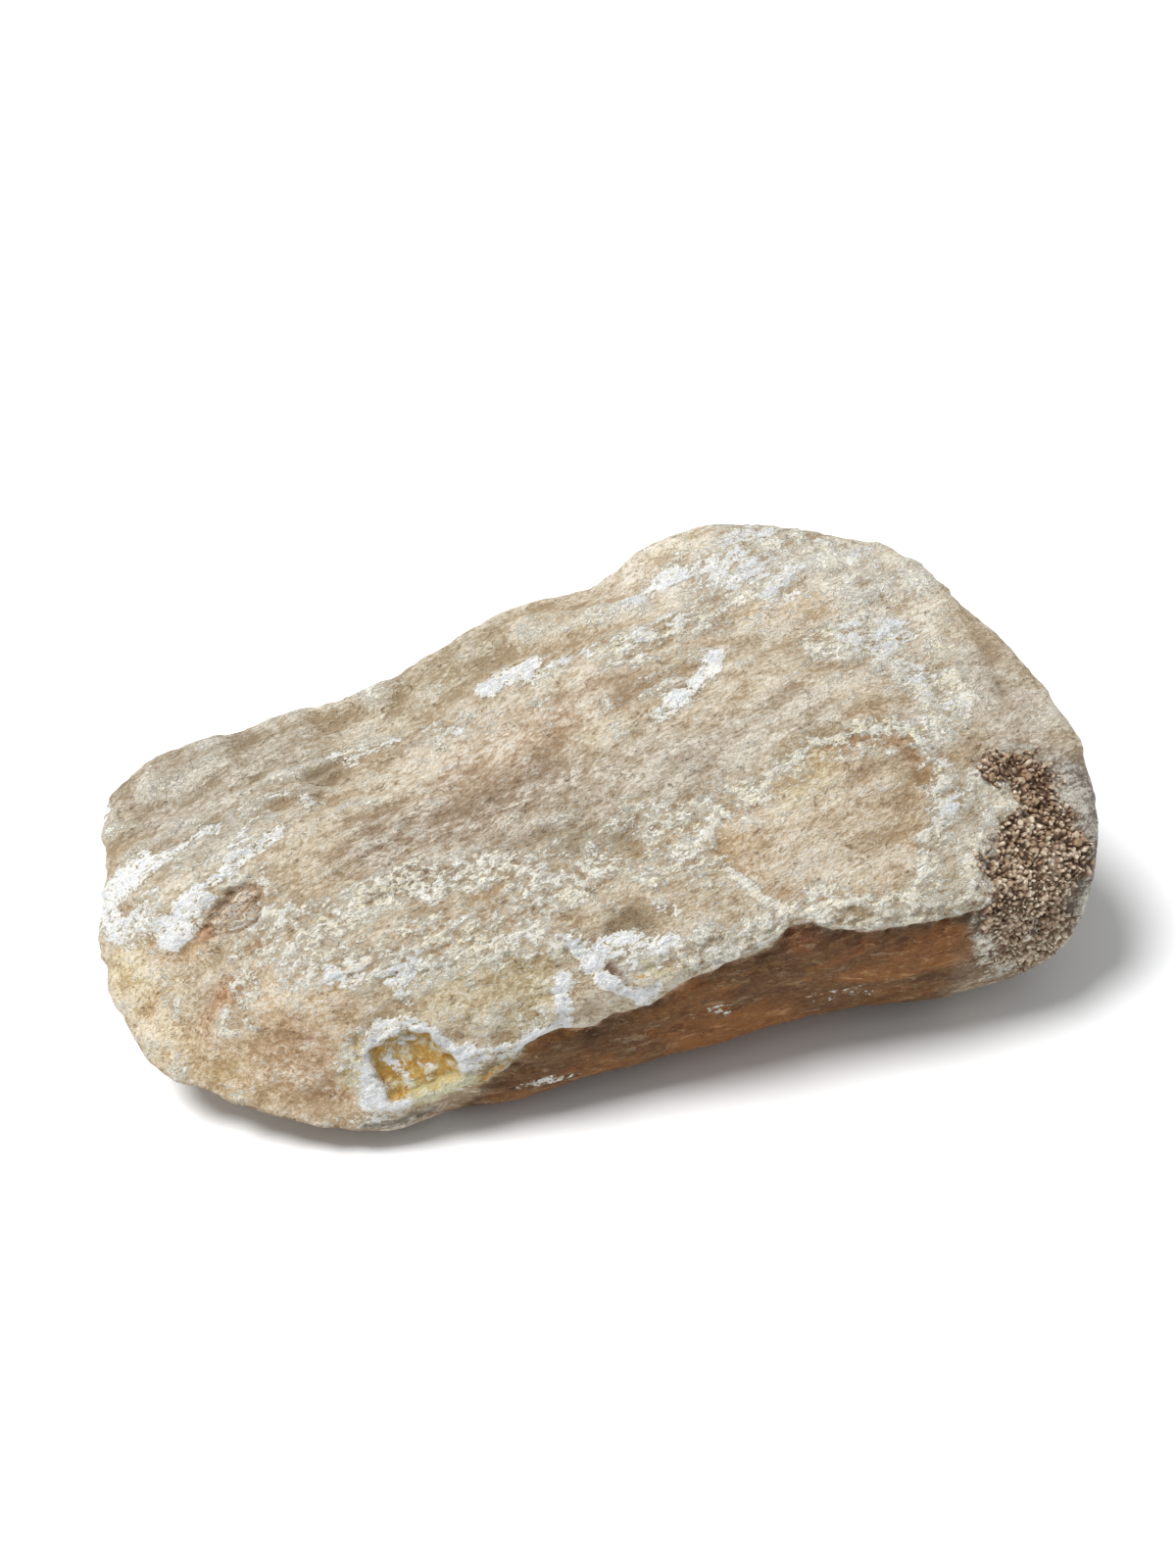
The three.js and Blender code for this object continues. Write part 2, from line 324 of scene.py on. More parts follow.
# %% Name the cream crumbs
CREAM = [
    (9, 0.75, (255, 937), (300, 934), (339, 949), (360, 928), (390, 908)),
    (9, 0.8, (390, 907), (420, 904), (456, 901), (480, 892), (510, 882)),
    (8, 0.8, (510, 882), (534, 896), (563, 897), (588, 893), (617, 880)),
    (9, 0.7, (280, 968), (340, 984), (390, 978), (447, 976), (492, 968)),
    (8, 0.7, (492, 968), (540, 960), (590, 968)),
    (8, 0.6, (420, 950), (470, 940), (520, 930), (570, 926)),
    (8, 0.65, (646, 840), (683, 834), (729, 827), (766, 812), (795, 792)),
    (10, 0.55, (660, 880), (700, 870), (724, 888)),
    (7, 0.6, (540, 890), (576, 872), (620, 864)),
    (8, 0.65, (795, 790), (832, 765), (895, 745), (940, 745)),
    (8, 0.7, (936, 761), (950, 790), (962, 820), (960, 850)),
    (8, 0.55, (960, 850), (956, 890), (960, 920)),
    (9, 0.75, (637, 664), (680, 640), (729, 628)),
    (14, 0.75, (729, 603), (770, 580), (803, 545), (760, 545)),
    (12, 0.75, (800, 560), (860, 575), (900, 600)),
    (14, 0.75, (840, 660), (880, 640), (930, 690), (960, 720)),
    (8, 0.45, (500, 700), (560, 670), (620, 650)),
    (7, 0.4, (620, 720), (680, 690), (700, 660)),
    (7, 0.5, (330, 772), (380, 762), (440, 745), (480, 735)),
    (7, 0.45, (170, 880), (230, 838), (300, 815), (340, 822)),
    (5, 0.5, (110, 1006), (122, 1038), (144, 1064)),
    (4, 0.4, (196, 1112), (230, 1126), (280, 1142)),
    (4, 0.75, (236, 996), (252, 1008)),
    (3, 0.7, (166, 1006), (178, 1026)),
    (4, 0.7, (240, 1012), (248, 1030), (256, 1050)),
    (3.5, 0.6, (226, 1034), (236, 1050)),
    (7, 0.6, (244, 960), (280, 976), (310, 990)),
    (4, 0.6, (240, 900), (262, 898), (282, 906)),
    (6, 0.55, (350, 1102), (358, 1070), (368, 1050)),
    (8, 0.75, (700, 975), (750, 962), (800, 936), (840, 925)),
    (9, 0.65, (840, 925), (900, 930), (960, 920), (1000, 918)),
    (11, 0.65, (1004, 800), (1012, 830), (1010, 860), (1000, 890)),
    (8, 0.5, (990, 960), (1010, 975), (1050, 985)),
    (8, 0.5, (460, 1050), (500, 1058), (540, 1040)),
    # The hidden back and right end.
    (10, 0.6, (-94, 64, 52), (-40, 70, 66), (10, 70, 60)),
    (9, 0.5, (10, 70, 60), (60, 76, 50), (110, 62, 60)),
    (8, 0.5, (134, 26, 72), (134, 34, 50), (128, 34, 20)),
]

# %% [markdown]
# Names that end in EDGE are outlines: the broad facet at the right, the honey window with its white
# rim, and the brown recess. LIP is where the rind ends over the dark overhang, and LIFTS are low
# swellings and dents in millimetres.

# %% Name the windows, the crystal crust, the hollows and the calm faces
FACET_EDGE = [
    (790, 791), (828, 763), (866, 750), (896, 747), (931, 750), (946, 772), (958, 791), (958, 818),
    (948, 835), (936, 852), (942, 879), (925, 908), (885, 915), (836, 922), (790, 920), (752, 890),
    (733, 866), (729, 846), (752, 826), (779, 810),
]
WINDOW_EDGE = [
    (377, 1072), (392, 1060), (414, 1050), (435, 1052), (447, 1068), (465, 1083), (466, 1096), (442, 1110),
    (410, 1120), (394, 1119), (387, 1103), (379, 1085),
]
RIM_EDGE = [
    (366, 1080), (372, 1052), (380, 1040), (392, 1033), (424, 1033), (443, 1044), (459, 1060), (480, 1066),
    (504, 1064), (505, 1076), (488, 1092), (474, 1110), (440, 1124), (408, 1130), (369, 1133), (362, 1126),
]
HONEY = [
    (1.8, 0.7, (642, 994), (652, 997)),
    (2.4, 0.6, (490, 1100), (502, 1092), (514, 1086)),
]
PALE_HONEY = [
    (5, 1.0, (428, 1114), (452, 1108), (472, 1098)),
    (4, 0.55, (656, 984), (672, 992), (690, 990)),
]
CRUST = [
    (7, 0.85, (1016, 782), (1040, 782), (1066, 792)),
    (9, 1.0, (1050, 804), (1066, 824), (1068, 850)),
    (8, 0.9, (1034, 846), (1056, 856)),
    (8, 0.95, (1080, 834), (1094, 854), (1096, 884), (1092, 900)),
    (10, 0.95, (1036, 866), (1056, 890), (1040, 912)),
    (9, 0.8, (1022, 890), (1020, 925), (1036, 950)),
    (10, 0.75, (1064, 910), (1076, 935)),
    (9, 0.65, (1030, 968), (1060, 972), (1084, 955)),
    # Round the corner, where the picture doesn't show it.
    (8, 0.7, (126, -14, 30), (131, 0, 24), (131, 14, 16)),
]
# Dark crevices, pits and ledge shadows: each sinks the skin and is painted darker, partly dirt and partly
# painted shadow.
DARK = [
    (4, 0.9, (316, 786), (330, 784), (346, 778)),
    (3, 0.8, (336, 796), (344, 790)),
    (2.0, 0.9, (264, 914), (268, 906)),
    (1.6, 0.9, (220, 924), (233, 912)),
    (1.4, 0.8, (236, 928), (262, 920)),
    (1.4, 0.7, (244, 908), (258, 901)),
    (1.8, 0.9, (204, 946), (216, 938)),
    (8, 0.55, (563, 860), (600, 856), (640, 848)),
    (6, 0.75, (624, 942), (640, 938), (662, 944)),
    (2.5, 0.8, (1015, 692), (1022, 712)),
    (2.5, 0.5, (1024, 716), (1040, 738), (1052, 752)),
    (3, 0.6, (750, 658), (764, 656)),
    (4, 0.5, (420, 925), (450, 930)),
    (3, 0.4, (150, 925), (156, 930)),
    (7, 0.35, (470, 855), (510, 850), (550, 858)),
    (5, 0.5, (770, 968), (800, 950), (826, 942)),
]
CALM = [
    (24, 0.8, (800, 850), (850, 860), (900, 850)),
    (16, 0.45, (600, 800), (680, 780), (760, 730)),
    (18, 0.5, (280, 1050), (330, 1090)),
    (12, 0.6, (440, 1020), (520, 1020)),
    (16, 0.9, (1000, 640), (1050, 710), (1090, 780), (1112, 840), (1108, 890)),
]
LIFTS = [
    (14, 2.6, (160, 782), (200, 760)),
    (9, -2.0, (335, 728), (352, 722)),
    (9, 2.6, (540, 612), (590, 600)),
    (7, 3.0, (612, 588), (640, 570)),
    (12, 1.5, (940, 585), (985, 620)),
    (9, -2.5, (1095, 915), (1090, 940)),
    (10, 2.0, (165, 1070), (180, 1085)),
    (10, -1.8, (440, 1135), (470, 1128)),
]
LIP = [
    (482, 1118), (497, 1100), (523, 1084), (531, 1070), (546, 1058), (575, 1048), (606, 1046), (625, 1034),
    (661, 1025), (677, 1015), (696, 1001), (720, 990), (756, 976), (784, 966), (803, 946), (830, 939),
    (852, 947), (880, 950), (920, 944), (966, 936), (1004, 926),
]
RECESS_EDGE = [
    (206, 946), (213, 928), (227, 911), (245, 900), (262, 901), (270, 913), (267, 930), (252, 945),
    (232, 953), (214, 956),
]

# %% [markdown]
# ## More points where the shape is fine
#
# Most of the rind is well shown by points a millimetre apart. Crumbs, rims and the broken lip are
# finer than that. Halving edges only inside a few brush strokes keeps the whole stone under
# 200,000 triangles.

# %% Halve the edges again on crumbs, rims and lip
MOST_TRIANGLES = 200_000
FINE_COVER = 0.5


def points_of(bm):
    return np.array([vert.co for vert in bm.verts]) / MM


def halve_under(bm, cover):
    bm.verts.index_update()
    inside = [e for e in bm.edges if min(cover[v.index] for v in e.verts) > FINE_COVER]
    halve(bm, inside)


FINE_EDGES = [(4, 1.0, *LIP), (6, 1.0, *WINDOW_EDGE), (7, 1.0, *RECESS_EDGE), (3, 1.0, *FACET_EDGE)]
halve_under(skin, strokes(points_of(skin), CHALK + CREAM + PALE_HONEY + CRUST + FINE_EDGES))
skin.normal_update()
print("finer skin:", len(skin.verts), "points,", len(skin.faces), "of", MOST_TRIANGLES, "triangles")

# %% [markdown]
# ## Measuring every point once
#
# The brush strokes are turned into numbers on the points of the skin. Real edges wander, so the
# points are first pushed about by a little noise before they are measured against the strokes.

# %% Measure the strokes on the skin
WANDER_SIZE = 8
WANDER = 2.4
FINE_WANDER_SIZE = 2.6
FINE_WANDER = 1.0
OUTLINE_WANDER = 0.9
FEATHER = 1.4
LEFT_FADE = 3
RIGHT_PAST = 4
RIGHT_FADE = 9

points = points_of(skin)
normals = np.array([vert.normal for vert in skin.verts])
wander = np.array([noise.noise_vector(Vector(p) / WANDER_SIZE) for p in points])
fine_wander = np.array([noise.noise_vector(Vector(p) / FINE_WANDER_SIZE) for p in points])
wandered = points + WANDER * wander + FINE_WANDER * fine_wander
unseen = np.clip(-4 * (normals @ np.array(TO_CAMERA)) - 0.4, 0, 1)


# Scattered patches for the sides that have no listed strokes.
def patches(size, share, seed):
    found = np.array([noise.noise(Vector(p) / size + Vector((seed, 0, 0))) for p in points])
    return np.clip(3 * (found + share), 0, 1) * unseen


nearby = points + OUTLINE_WANDER * wander + FINE_WANDER * fine_wander
facet_depth = depth_inside(nearby, *FACET_EDGE)
window_depth = depth_inside(nearby, *WINDOW_EDGE)
rim_depth = depth_inside(nearby, *RIM_EDGE)
chalk = np.maximum(strokes(wandered, CHALK, FEATHER), 0.55 * patches(15, -0.2, 5.5))
cream = np.maximum(strokes(wandered, CREAM, 1.2), 0.75 * patches(19, 0.0, 9.5))
window = smooth_share(window_depth, -3.0, 3.0)
rim = smooth_share(rim_depth, -1.6, 1.6) * smooth_share(window_depth, 1.6, -1.6)
chalk = np.maximum(chalk, 0.95 * rim)
cream = np.maximum(cream, 0.9 * smooth_share(np.abs(facet_depth + 1.0), 2.6, 0.6))
honey = np.maximum(strokes(wandered, HONEY), window)
pale_honey = strokes(wandered, PALE_HONEY)
crust = strokes(wandered, CRUST)
dirty = np.maximum(crust, 0.45 * strokes(wandered, CRUST, 1.8))
dark = strokes(wandered, DARK)
calm = strokes(points, CALM)
recess = smooth_share(depth_inside(nearby, *RECESS_EDGE), -0.8, 1.0)
lift = sum(stroke(points, *row) for row in LIFTS)
facet = smooth_share(facet_depth, -1.2, 1.2)
sunken = smooth_share(window_depth, -0.6, 1.0)
lip_offset = offsets_from(points, [on_stone(p) for p in LIP])
lip_left, lip_right = on_stone(LIP[0])[0], on_stone(LIP[-1])[0]
front = smooth_share(wandered[:, 0], lip_left - LEFT_FADE, lip_left)
front = front * smooth_share(wandered[:, 0], lip_right + RIGHT_PAST, lip_right - RIGHT_FADE)
overhang = np.clip(-3 * normals[:, 2], 0, 1)
for name, cover in {"chalk": chalk, "cream": cream, "crust": crust}.items():
    print("points of", name, int((cover > 0.5).sum()))

# %% [markdown]
# ## The rind's relief
#
# The rind is layered, and the layers run slightly askew along the stone. Where they break they make
# low ledges with ragged fronts. Chalk and cream crumble, and everything carries a fine grain. Each
# of these is a small height along the surface's normal, in millimetres, made from noise.

# %% Ledges, crumbs and grain
BEDDING = math.radians(-12)
BEDDING_TURN = Matrix.Rotation(BEDDING, 3, "Z")
SEED_WIDE = Vector((3.1, 7.7, 1.9))
SEED_FINE = Vector((9.4, 2.3, 5.2))


def clamp(value):
    return min(max(value, 0.0), 1.0)


# Layers that climb slowly and break off steeply towards the front.
def ledges(q, spacing, height, seed):
    across = q.y + 0.5 * q.z + 8 * noise.noise(q / 31 + seed) + 2.6 * noise.noise(q / 7.3 - seed)
    share = across / spacing % 1
    climb = share / 0.2 if share < 0.2 else (1 - share) / 0.8
    here = clamp(0.1 + 2.2 * noise.noise(Vector((q.x / 38, q.y / 17, q.z / 17)) - seed))
    return height * (climb - 0.5) * here


# Lumps with creases between them, drawn out along the layers.
def lumps(q, size, height, seed):
    drawn = Vector((q.x * 0.65, q.y, q.z)) / size + seed
    return height * (abs(noise.fractal(drawn, 0.9, 2.1, 3)) - 0.25)


def grain(q):
    drawn = Vector((q.x * 0.75, q.y, q.z))
    return 0.4 * noise.fractal(drawn / 4.6, 0.8, 2.1, 3) + 0.22 * noise.noise(drawn / 1.6)


# Broken layer edges: sharp crooked ridges with pits between them.
def crumbs(p, much):
    bent = p + 1.3 * noise.noise_vector(p / 3.0)
    ridge = noise.ridged_multi_fractal(bent / 3.6, 0.8, 2.2, 3, 1.0, 1.6)
    return much * (0.6 * ridge - 0.5 + 0.45 * noise.noise(p / 1.1))


def rind_relief(p, quiet, crumbly):
    q = BEDDING_TURN @ p
    wide = ledges(q, 17, 1.3, SEED_WIDE) + ledges(q, 7.1, 0.6, SEED_FINE)
    soft = lumps(q, 14, 1.5, SEED_FINE) + grain(q)
    return (wide + soft) * (1 - 0.85 * quiet) + 0.35 * grain(q) * quiet + crumbs(p, crumbly)


samples = [rind_relief(Vector(points[i]), 0, 0) for i in (0, 500, 900)]
print("relief at three places in mm:", [round(sample, 2) for sample in samples])

# %% [markdown]
# ## The windows, the lip and the recess
#
# The honey calcite lies a little below the rind and breaks in small flat steps. Along the front the
# rind ends in a lip, and the overhang is cut back below it. The brown recess at the left shows the
# layers edge on, as a stack of thin ridges.

# %% Sink the windows and the recess, and cut back the overhang
WINDOW_DEPTH = 1.8
RIM_HEIGHT = 0.7
FACET_STEP = 0.4
CRUST_DEPTH = 1.0
DARK_DEPTH = 0.9
RECESS_DEPTH = 0.9
LIP_REACH = 5.0
LIP_RISE = 0.8
LIP_CUT = 2.0


def window_floor(p):
    return -WINDOW_DEPTH + 0.3 * noise.cell(p / 3.1) + 0.25 * noise.noise(p / 1.5)


def lip_relief(offset, p):
    away = math.sqrt(sum(v * v for v in offset))
    side = math.tanh(offset[2] / 1.2)
    ragged = 0.8 + 0.9 * noise.noise(p / 4) + 0.7 * noise.noise(p / 1.7)
    return (LIP_RISE if side > 0 else LIP_CUT) * ragged * side * math.exp(-away / LIP_REACH)


def recess_relief(p):
    layer = math.sin(3.4 * (p.z + 0.5 * p.y) + 6 * noise.noise(p / 6))
    return -RECESS_DEPTH + 0.22 * layer * (1 + noise.noise(p / 3)) + 0.4 * noise.noise(p / 1.8)


def relief(i):
    p = Vector(points[i])
    quiet = max(calm[i], 0.6 * overhang[i])
    crumbly = max(0.75 * chalk[i], cream[i]) * (1 - 0.6 * overhang[i])
    height = rind_relief(p, quiet, crumbly) * (1 - 0.5 * crust[i])
    height = height - CRUST_DEPTH * crust[i] - FACET_STEP * facet[i]
    height = height * (1 - sunken[i]) + window_floor(p) * sunken[i] + RIM_HEIGHT * rim[i]
    height = height * (1 - recess[i]) + recess_relief(p) * recess[i]
    return height + lift[i] - DARK_DEPTH * dark[i] + lip_relief(lip_offset[i], p)


heights = np.array([relief(i) for i in range(len(points))])
print("relief from", round(heights.min(), 2), "to", round(heights.max(), 2), "mm")

# %% [markdown]
# ## Crests and hollows
#
# Hollows are painted darker, as painted shade, and crests are rubbed pale. To know which is which, each
# point's height is compared with the mean height of the points around it.

# %% Compare each point with its neighbours
def surroundings(values, ends, passes):
    for _ in range(passes):
        total = np.bincount(ends[:, 0], values[ends[:, 1]], len(values))
        total += np.bincount(ends[:, 1], values[ends[:, 0]], len(values))
        values = total / np.maximum(np.bincount(ends.ravel(), minlength=len(values)), 1)
    return values


skin.verts.index_update()
ends = np.array([[v.index for v in edge.verts] for edge in skin.edges])
crest = np.clip(0.5 + (surroundings(heights, ends, 1) - surroundings(heights, ends, 12)) / 1.2, 0, 1)
print("crests and hollows:", [round(float(v), 2) for v in np.percentile(crest, (5, 50, 95))])

# %% [markdown]
# ## Making the skin one piece
#
# The heights are laid on along the normals. The stone may not grow past its measured box, so the
# skin is brought back to that box, and what would lie below the table is pressed flat.

# %% Lay the relief on and fit the box
def fitted(places):
    low, high = (np.array(corner) / MM for corner in cad_box)
    least, most = places.min(0), places.max(0)
    least[2] = 0
    shares = np.minimum((high - low) / (most - least), 1)
    middle = (least + most) / 2
    middle[2] = 0
    home = (low + high) / 2
    home[2] = 0
    return (places - middle) * shares + home


raised = points + normals * heights[:, None]
raised[:, 2] = np.maximum(raised[:, 2], 0)
raised = fitted(raised)
for vert, place in zip(skin.verts, raised):
    vert.co = Vector(place) * MM

# %% [markdown]
# ## Paint on the points
#
# Soft stains are painted straight onto the points of the skin: the grey-green saddle, the pinkish middle,
# orange spots, the yellow of the nose. Each is a stroke with a paint of its own, and later strokes lie
# over earlier ones; a few hold painted shade, along the bottom edge, by the lip and round the right end.
# Brown fills the overhang below the lip, darker than the calcite's own brown as painted shade, and faces
# that point down are painted browner, partly as painted shade. Patches of three tans cover the sides that
# the picture doesn't show. The shader breaks all their edges up.

# %% Paint the stains
def paint(red, green, blue):
    def linear(v):
        v /= 255
        return v / 12.92 if v <= 0.04045 else ((v + 0.055) / 1.055) ** 2.4
    return (linear(red), linear(green), linear(blue))


RIND = paint(216, 201, 176)
STAINS = [
    # The left shelf, the grey-green saddle and the groove.
    (30, 0.8, paint(193, 182, 164), (150, 790), (260, 770), (200, 830)),
    (12, 0.6, paint(212, 203, 188), (170, 850), (230, 850)),
    (12, 0.6, paint(184, 173, 150), (280, 785), (326, 788)),
    (26, 0.85, paint(200, 187, 162), (400, 715), (430, 696), (470, 660)),
    (18, 0.75, paint(188, 175, 156), (520, 840), (600, 810), (680, 770)),
    (14, 0.6, paint(186, 174, 157), (700, 780), (780, 740), (820, 720)),
    (7, 0.6, paint(172, 160, 136), (563, 858), (600, 854), (640, 848)),
    # Pinkish tan along the middle of the top.
    (22, 0.85, paint(170, 151, 130), (400, 860), (470, 830), (540, 790)),
    (12, 0.6, paint(196, 175, 152), (560, 726), (620, 700), (660, 690)),
    (10, 0.5, paint(200, 176, 150), (470, 800), (520, 775)),
    (13, 0.75, paint(196, 171, 142), (480, 760), (560, 740)),
    # The lump.
    (26, 0.9, paint(246, 238, 222), (660, 580), (740, 560), (860, 590), (900, 630)),
    (9, 0.8, paint(224, 200, 164), (776, 622), (800, 612), (826, 616)),
    (8, 0.5, paint(216, 192, 160), (880, 712), (900, 730)),
    (16, 0.5, paint(226, 214, 194), (900, 660), (940, 720)),
    (8, 0.6, paint(246, 234, 206), (665, 565), (700, 548)),
    # The broad facet and the cream ridge to the right of it.
    (24, 0.6, paint(218, 201, 175), (790, 870), (860, 880), (920, 860)),
    (10, 0.65, paint(240, 228, 194), (806, 806), (830, 776)),
    (9, 0.5, paint(208, 182, 146), (740, 850), (770, 880)),
    (8, 0.5, paint(208, 184, 150), (930, 800), (935, 850)),
    (14, 0.75, paint(220, 212, 192), (975, 840), (990, 880), (940, 920)),
    (16, 0.7, paint(200, 188, 173), (1000, 690), (1040, 720), (1050, 750)),
    # The nose.
    (28, 0.85, paint(218, 192, 156), (300, 1040), (330, 1100), (270, 1090)),
    (14, 0.7, paint(196, 162, 128), (300, 1070), (326, 1100)),
    (15, 0.85, paint(246, 230, 198), (130, 990), (150, 1020), (170, 1050)),
    (6, 0.7, paint(236, 218, 172), (124, 984), (140, 996)),
    (4, 0.6, paint(208, 176, 132), (150, 1030), (158, 1016)),
    (4.5, 0.85, paint(196, 146, 102), (236, 1000), (226, 1014)),
    (4.5, 0.6, paint(206, 160, 120), (216, 1026), (204, 1054)),
    (9, 0.75, paint(204, 176, 130), (180, 1084), (196, 1090), (230, 1098)),
    (7, 0.6, paint(210, 176, 134), (160, 966), (200, 970)),
    (4, 0.9, paint(196, 140, 96), (206, 948), (214, 943)),
    (8, 0.95, paint(226, 204, 178), (228, 934), (240, 924), (258, 912)),
    (5, 0.7, paint(232, 216, 164), (354, 1096), (364, 1066)),
    # The front face above the lip.
    (16, 0.8, paint(214, 198, 162), (450, 1010), (510, 1010), (540, 1030)),
    (9, 0.7, paint(200, 184, 146), (520, 1000), (548, 990)),
    (6, 0.5, paint(166, 152, 122), (630, 942), (655, 940)),
    # Painted shadow: grey along the bottom edge below the window's rim.
    (3.5, 0.95, paint(146, 141, 128), (372, 1148), (408, 1141), (444, 1133)),
    (9, 0.7, paint(206, 202, 190), (625, 970), (650, 978)),
    (3, 0.9, paint(122, 94, 76), (611, 980), (622, 988), (630, 1000)),
    # Darker olive strip along the lip by the window, partly painted shade.
    (3.6, 0.9, paint(160, 138, 92), (486, 1108), (498, 1094), (520, 1081), (534, 1074)),
    # Round the crust: dirt above it, a smooth grey rim at its right. The rim and the foot below it are
    # painted darker, partly as painted shade on the side away from the light.
    (13, 0.7, paint(184, 164, 142), (1030, 770), (1070, 790)),
    (9, 0.7, paint(170, 154, 130), (1050, 960), (1060, 900)),
    (8, 0.6, paint(132, 120, 98), (1036, 766), (1050, 776), (1070, 786)),
    # Partly painted shade: the darker brown-olive foot below the right end of the overhang.
    (11, 0.9, paint(138, 121, 94), (996, 948), (1004, 985), (1040, 992), (1080, 976)),
    (10, 0.9, paint(130, 120, 113), (1098, 790), (1110, 830), (1112, 880)),
    # Partly painted shade: the rim darkens towards its foot.
    (8, 0.9, paint(104, 94, 84), (1112, 870), (1106, 920), (1094, 950)),
]
FACET_PAINT = paint(216, 195, 166)
FACET_EDGE_PAINT = paint(212, 178, 140)
# The calcite's own brown under the lip, made darker as painted shade.
OVERHANG_BROWN_AND_SHADE = paint(140, 97, 52)
BARE_FEET = [
    (7, 0.9, (1010, 942), (1016, 985), (1050, 990), (1080, 978)),
    (6, 1.0, (350, 1152), (400, 1148), (440, 1138), (474, 1124)),
]
# Brown for faces that point down: partly the calcite's brown, partly painted shade.
DOWNWARD_BROWN_AND_SHADE = paint(158, 126, 90)
DOWNWARD_BROWN_SHARE = 0.6
UNDER_REACH = 50
NEAR_LIP = 12
SCORCHES = [
    (4, 0.8, paint(158, 92, 46), (814, 962), (828, 966)),
    (7, 0.7, paint(138, 84, 52), (812, 944), (830, 946)),
    (9, 0.6, paint(146, 98, 58), (870, 962), (920, 956), (968, 948)),
    (7, 0.5, paint(132, 98, 60), (560, 1062), (600, 1058)),
]
HIDDEN_PAINTS = [(31, paint(186, 170, 144)), (23, paint(206, 180, 150)), (19, paint(220, 204, 172))]


def lay(colour, cover, tint):
    cover = cover[:, None]
    return colour * (1 - cover) + np.array(tint) * cover


def stained(places):
    colour = np.tile(np.array(RIND), (len(places), 1))
    colour = lay(colour, 0.6 * smooth_share(facet_depth, 0, 1.5), FACET_PAINT)
    border = 0.6 * smooth_share(facet_depth, 0, 1) * smooth_share(facet_depth, 7, 2)
    colour = lay(colour, border, FACET_EDGE_PAINT)
    for size, tint in HIDDEN_PAINTS:
        colour = lay(colour, 0.7 * patches(size, 0.0, size), tint)
    for reach, strength, tint, *where in STAINS:
        colour = lay(colour, stroke(places, reach, strength, *where), tint)
    away = np.linalg.norm(lip_offset, axis=1)
    below = front * (away < UNDER_REACH) * np.clip(np.tanh(-lip_offset[:, 2] / 1.5), 0, 1)
    forward = front * np.clip(0.3 - 3 * normals[:, 1], 0, 1)
    # Faces that point down are painted browner, partly as painted shade.
    colour = lay(colour, DOWNWARD_BROWN_SHARE * overhang * (1 - forward), DOWNWARD_BROWN_AND_SHADE)
    under = np.maximum(below, (away > NEAR_LIP) * forward * overhang) * (1 - strokes(places, BARE_FEET))
    # Below the lip on the front: brown with painted shade in it.
    colour = lay(colour, under, OVERHANG_BROWN_AND_SHADE)
    for reach, strength, tint, *where in SCORCHES:
        colour = lay(colour, stroke(places, reach, strength, *where) * under, tint)
    return colour, under


stain, under = stained(wandered)

# %% [markdown]
# The skin becomes a mesh, and the stains and measures go with it as values on its points.

# %% Turn the skin into an object with its measures on it
def add_measure(mesh, name, values):
    layer = mesh.attributes.new(name, "FLOAT", "POINT")
    layer.data.foreach_set("value", np.asarray(values, np.float32))


def make_object(name, bm):
    mesh = bpy.data.meshes.new(name)
    bm.to_mesh(mesh)
    bm.free()
    made = bpy.data.objects.new(name, mesh)
    bpy.context.scene.collection.objects.link(made)
    return made


stone = make_object("calcite_rind", skin)
stone.data.shade_smooth()
stain_layer = stone.data.attributes.new("stain", "FLOAT_COLOR", "POINT")
stain_rows = np.column_stack([stain, np.ones(len(stain))]).astype(np.float32)
stain_layer.data.foreach_set("color", stain_rows.ravel())
for measure, values in {
    "chalk": chalk, "cream": cream, "honey": honey, "pale_honey": pale_honey, "crust": dirty,
    "dark": dark, "calm": calm, "under": under, "crest": crest, "recess": recess,
}.items():
    add_measure(stone.data, measure, values)
print("stone:", len(stone.data.polygons), "triangles")

# %% [markdown]
# ## The crust of crystals
#
# At the thick end small blunt crystals stand side by side, each 1 to 3 mm long, with dirt between them.
# They are finer than the skin can show, so each is a little five-sided stump of its own, made with
# create_cone, leaning its own way with its foot buried in the stone. All of them are joined in one mesh.
# Each point remembers how far up its crystal it lies, because the tips are pale and the feet dark brown,
# partly dirt and partly painted shade between the crystals, and each crystal has a tone of its own, paler
# low down on the stone.

# %% Scatter the crystals over the crust
CRYSTAL_GAP = 1.1
CRYSTAL_SIDES = 5
CRYSTAL_TRIES = 9000
CRYSTAL_SEED = 11
CRYSTAL_WIDE = (0.4, 1.45)
CRYSTAL_TALL = (1.3, 3.0)
CRYSTAL_FLAT = (0.55, 1.0)
CRYSTAL_TIP = (0.3, 0.65)
CRYSTAL_STRAY = 0.35
CLUMP_SIZE = 5.5
PALE_FOOT_TOP = 40
PALE_FOOT_SHARE = 0.012


def crystal_places():
    draw = np.random.default_rng(CRYSTAL_SEED)
    clumps = np.array([noise.noise(Vector(p) / CLUMP_SIZE) for p in points])
    inside = np.flatnonzero(crust + 0.9 * clumps > 0.35)
    inside = inside[crust[inside] > 0.08]
    kept = []
    cells = {}
    for i in draw.permutation(np.repeat(inside, 3))[:CRYSTAL_TRIES]:
        p = raised[i] + draw.normal(0, CRYSTAL_STRAY, 3)
        cell = tuple((p // CRYSTAL_GAP).astype(int))
        near = [q for dx in (-1, 0, 1) for dy in (-1, 0, 1) for dz in (-1, 0, 1)
                for q in cells.get((cell[0] + dx, cell[1] + dy, cell[2] + dz), ())]
        if all(np.linalg.norm(p - q) > CRYSTAL_GAP for q in near):
            cells.setdefault(cell, []).append(p)
            kept.append((p, i))
    return kept, draw


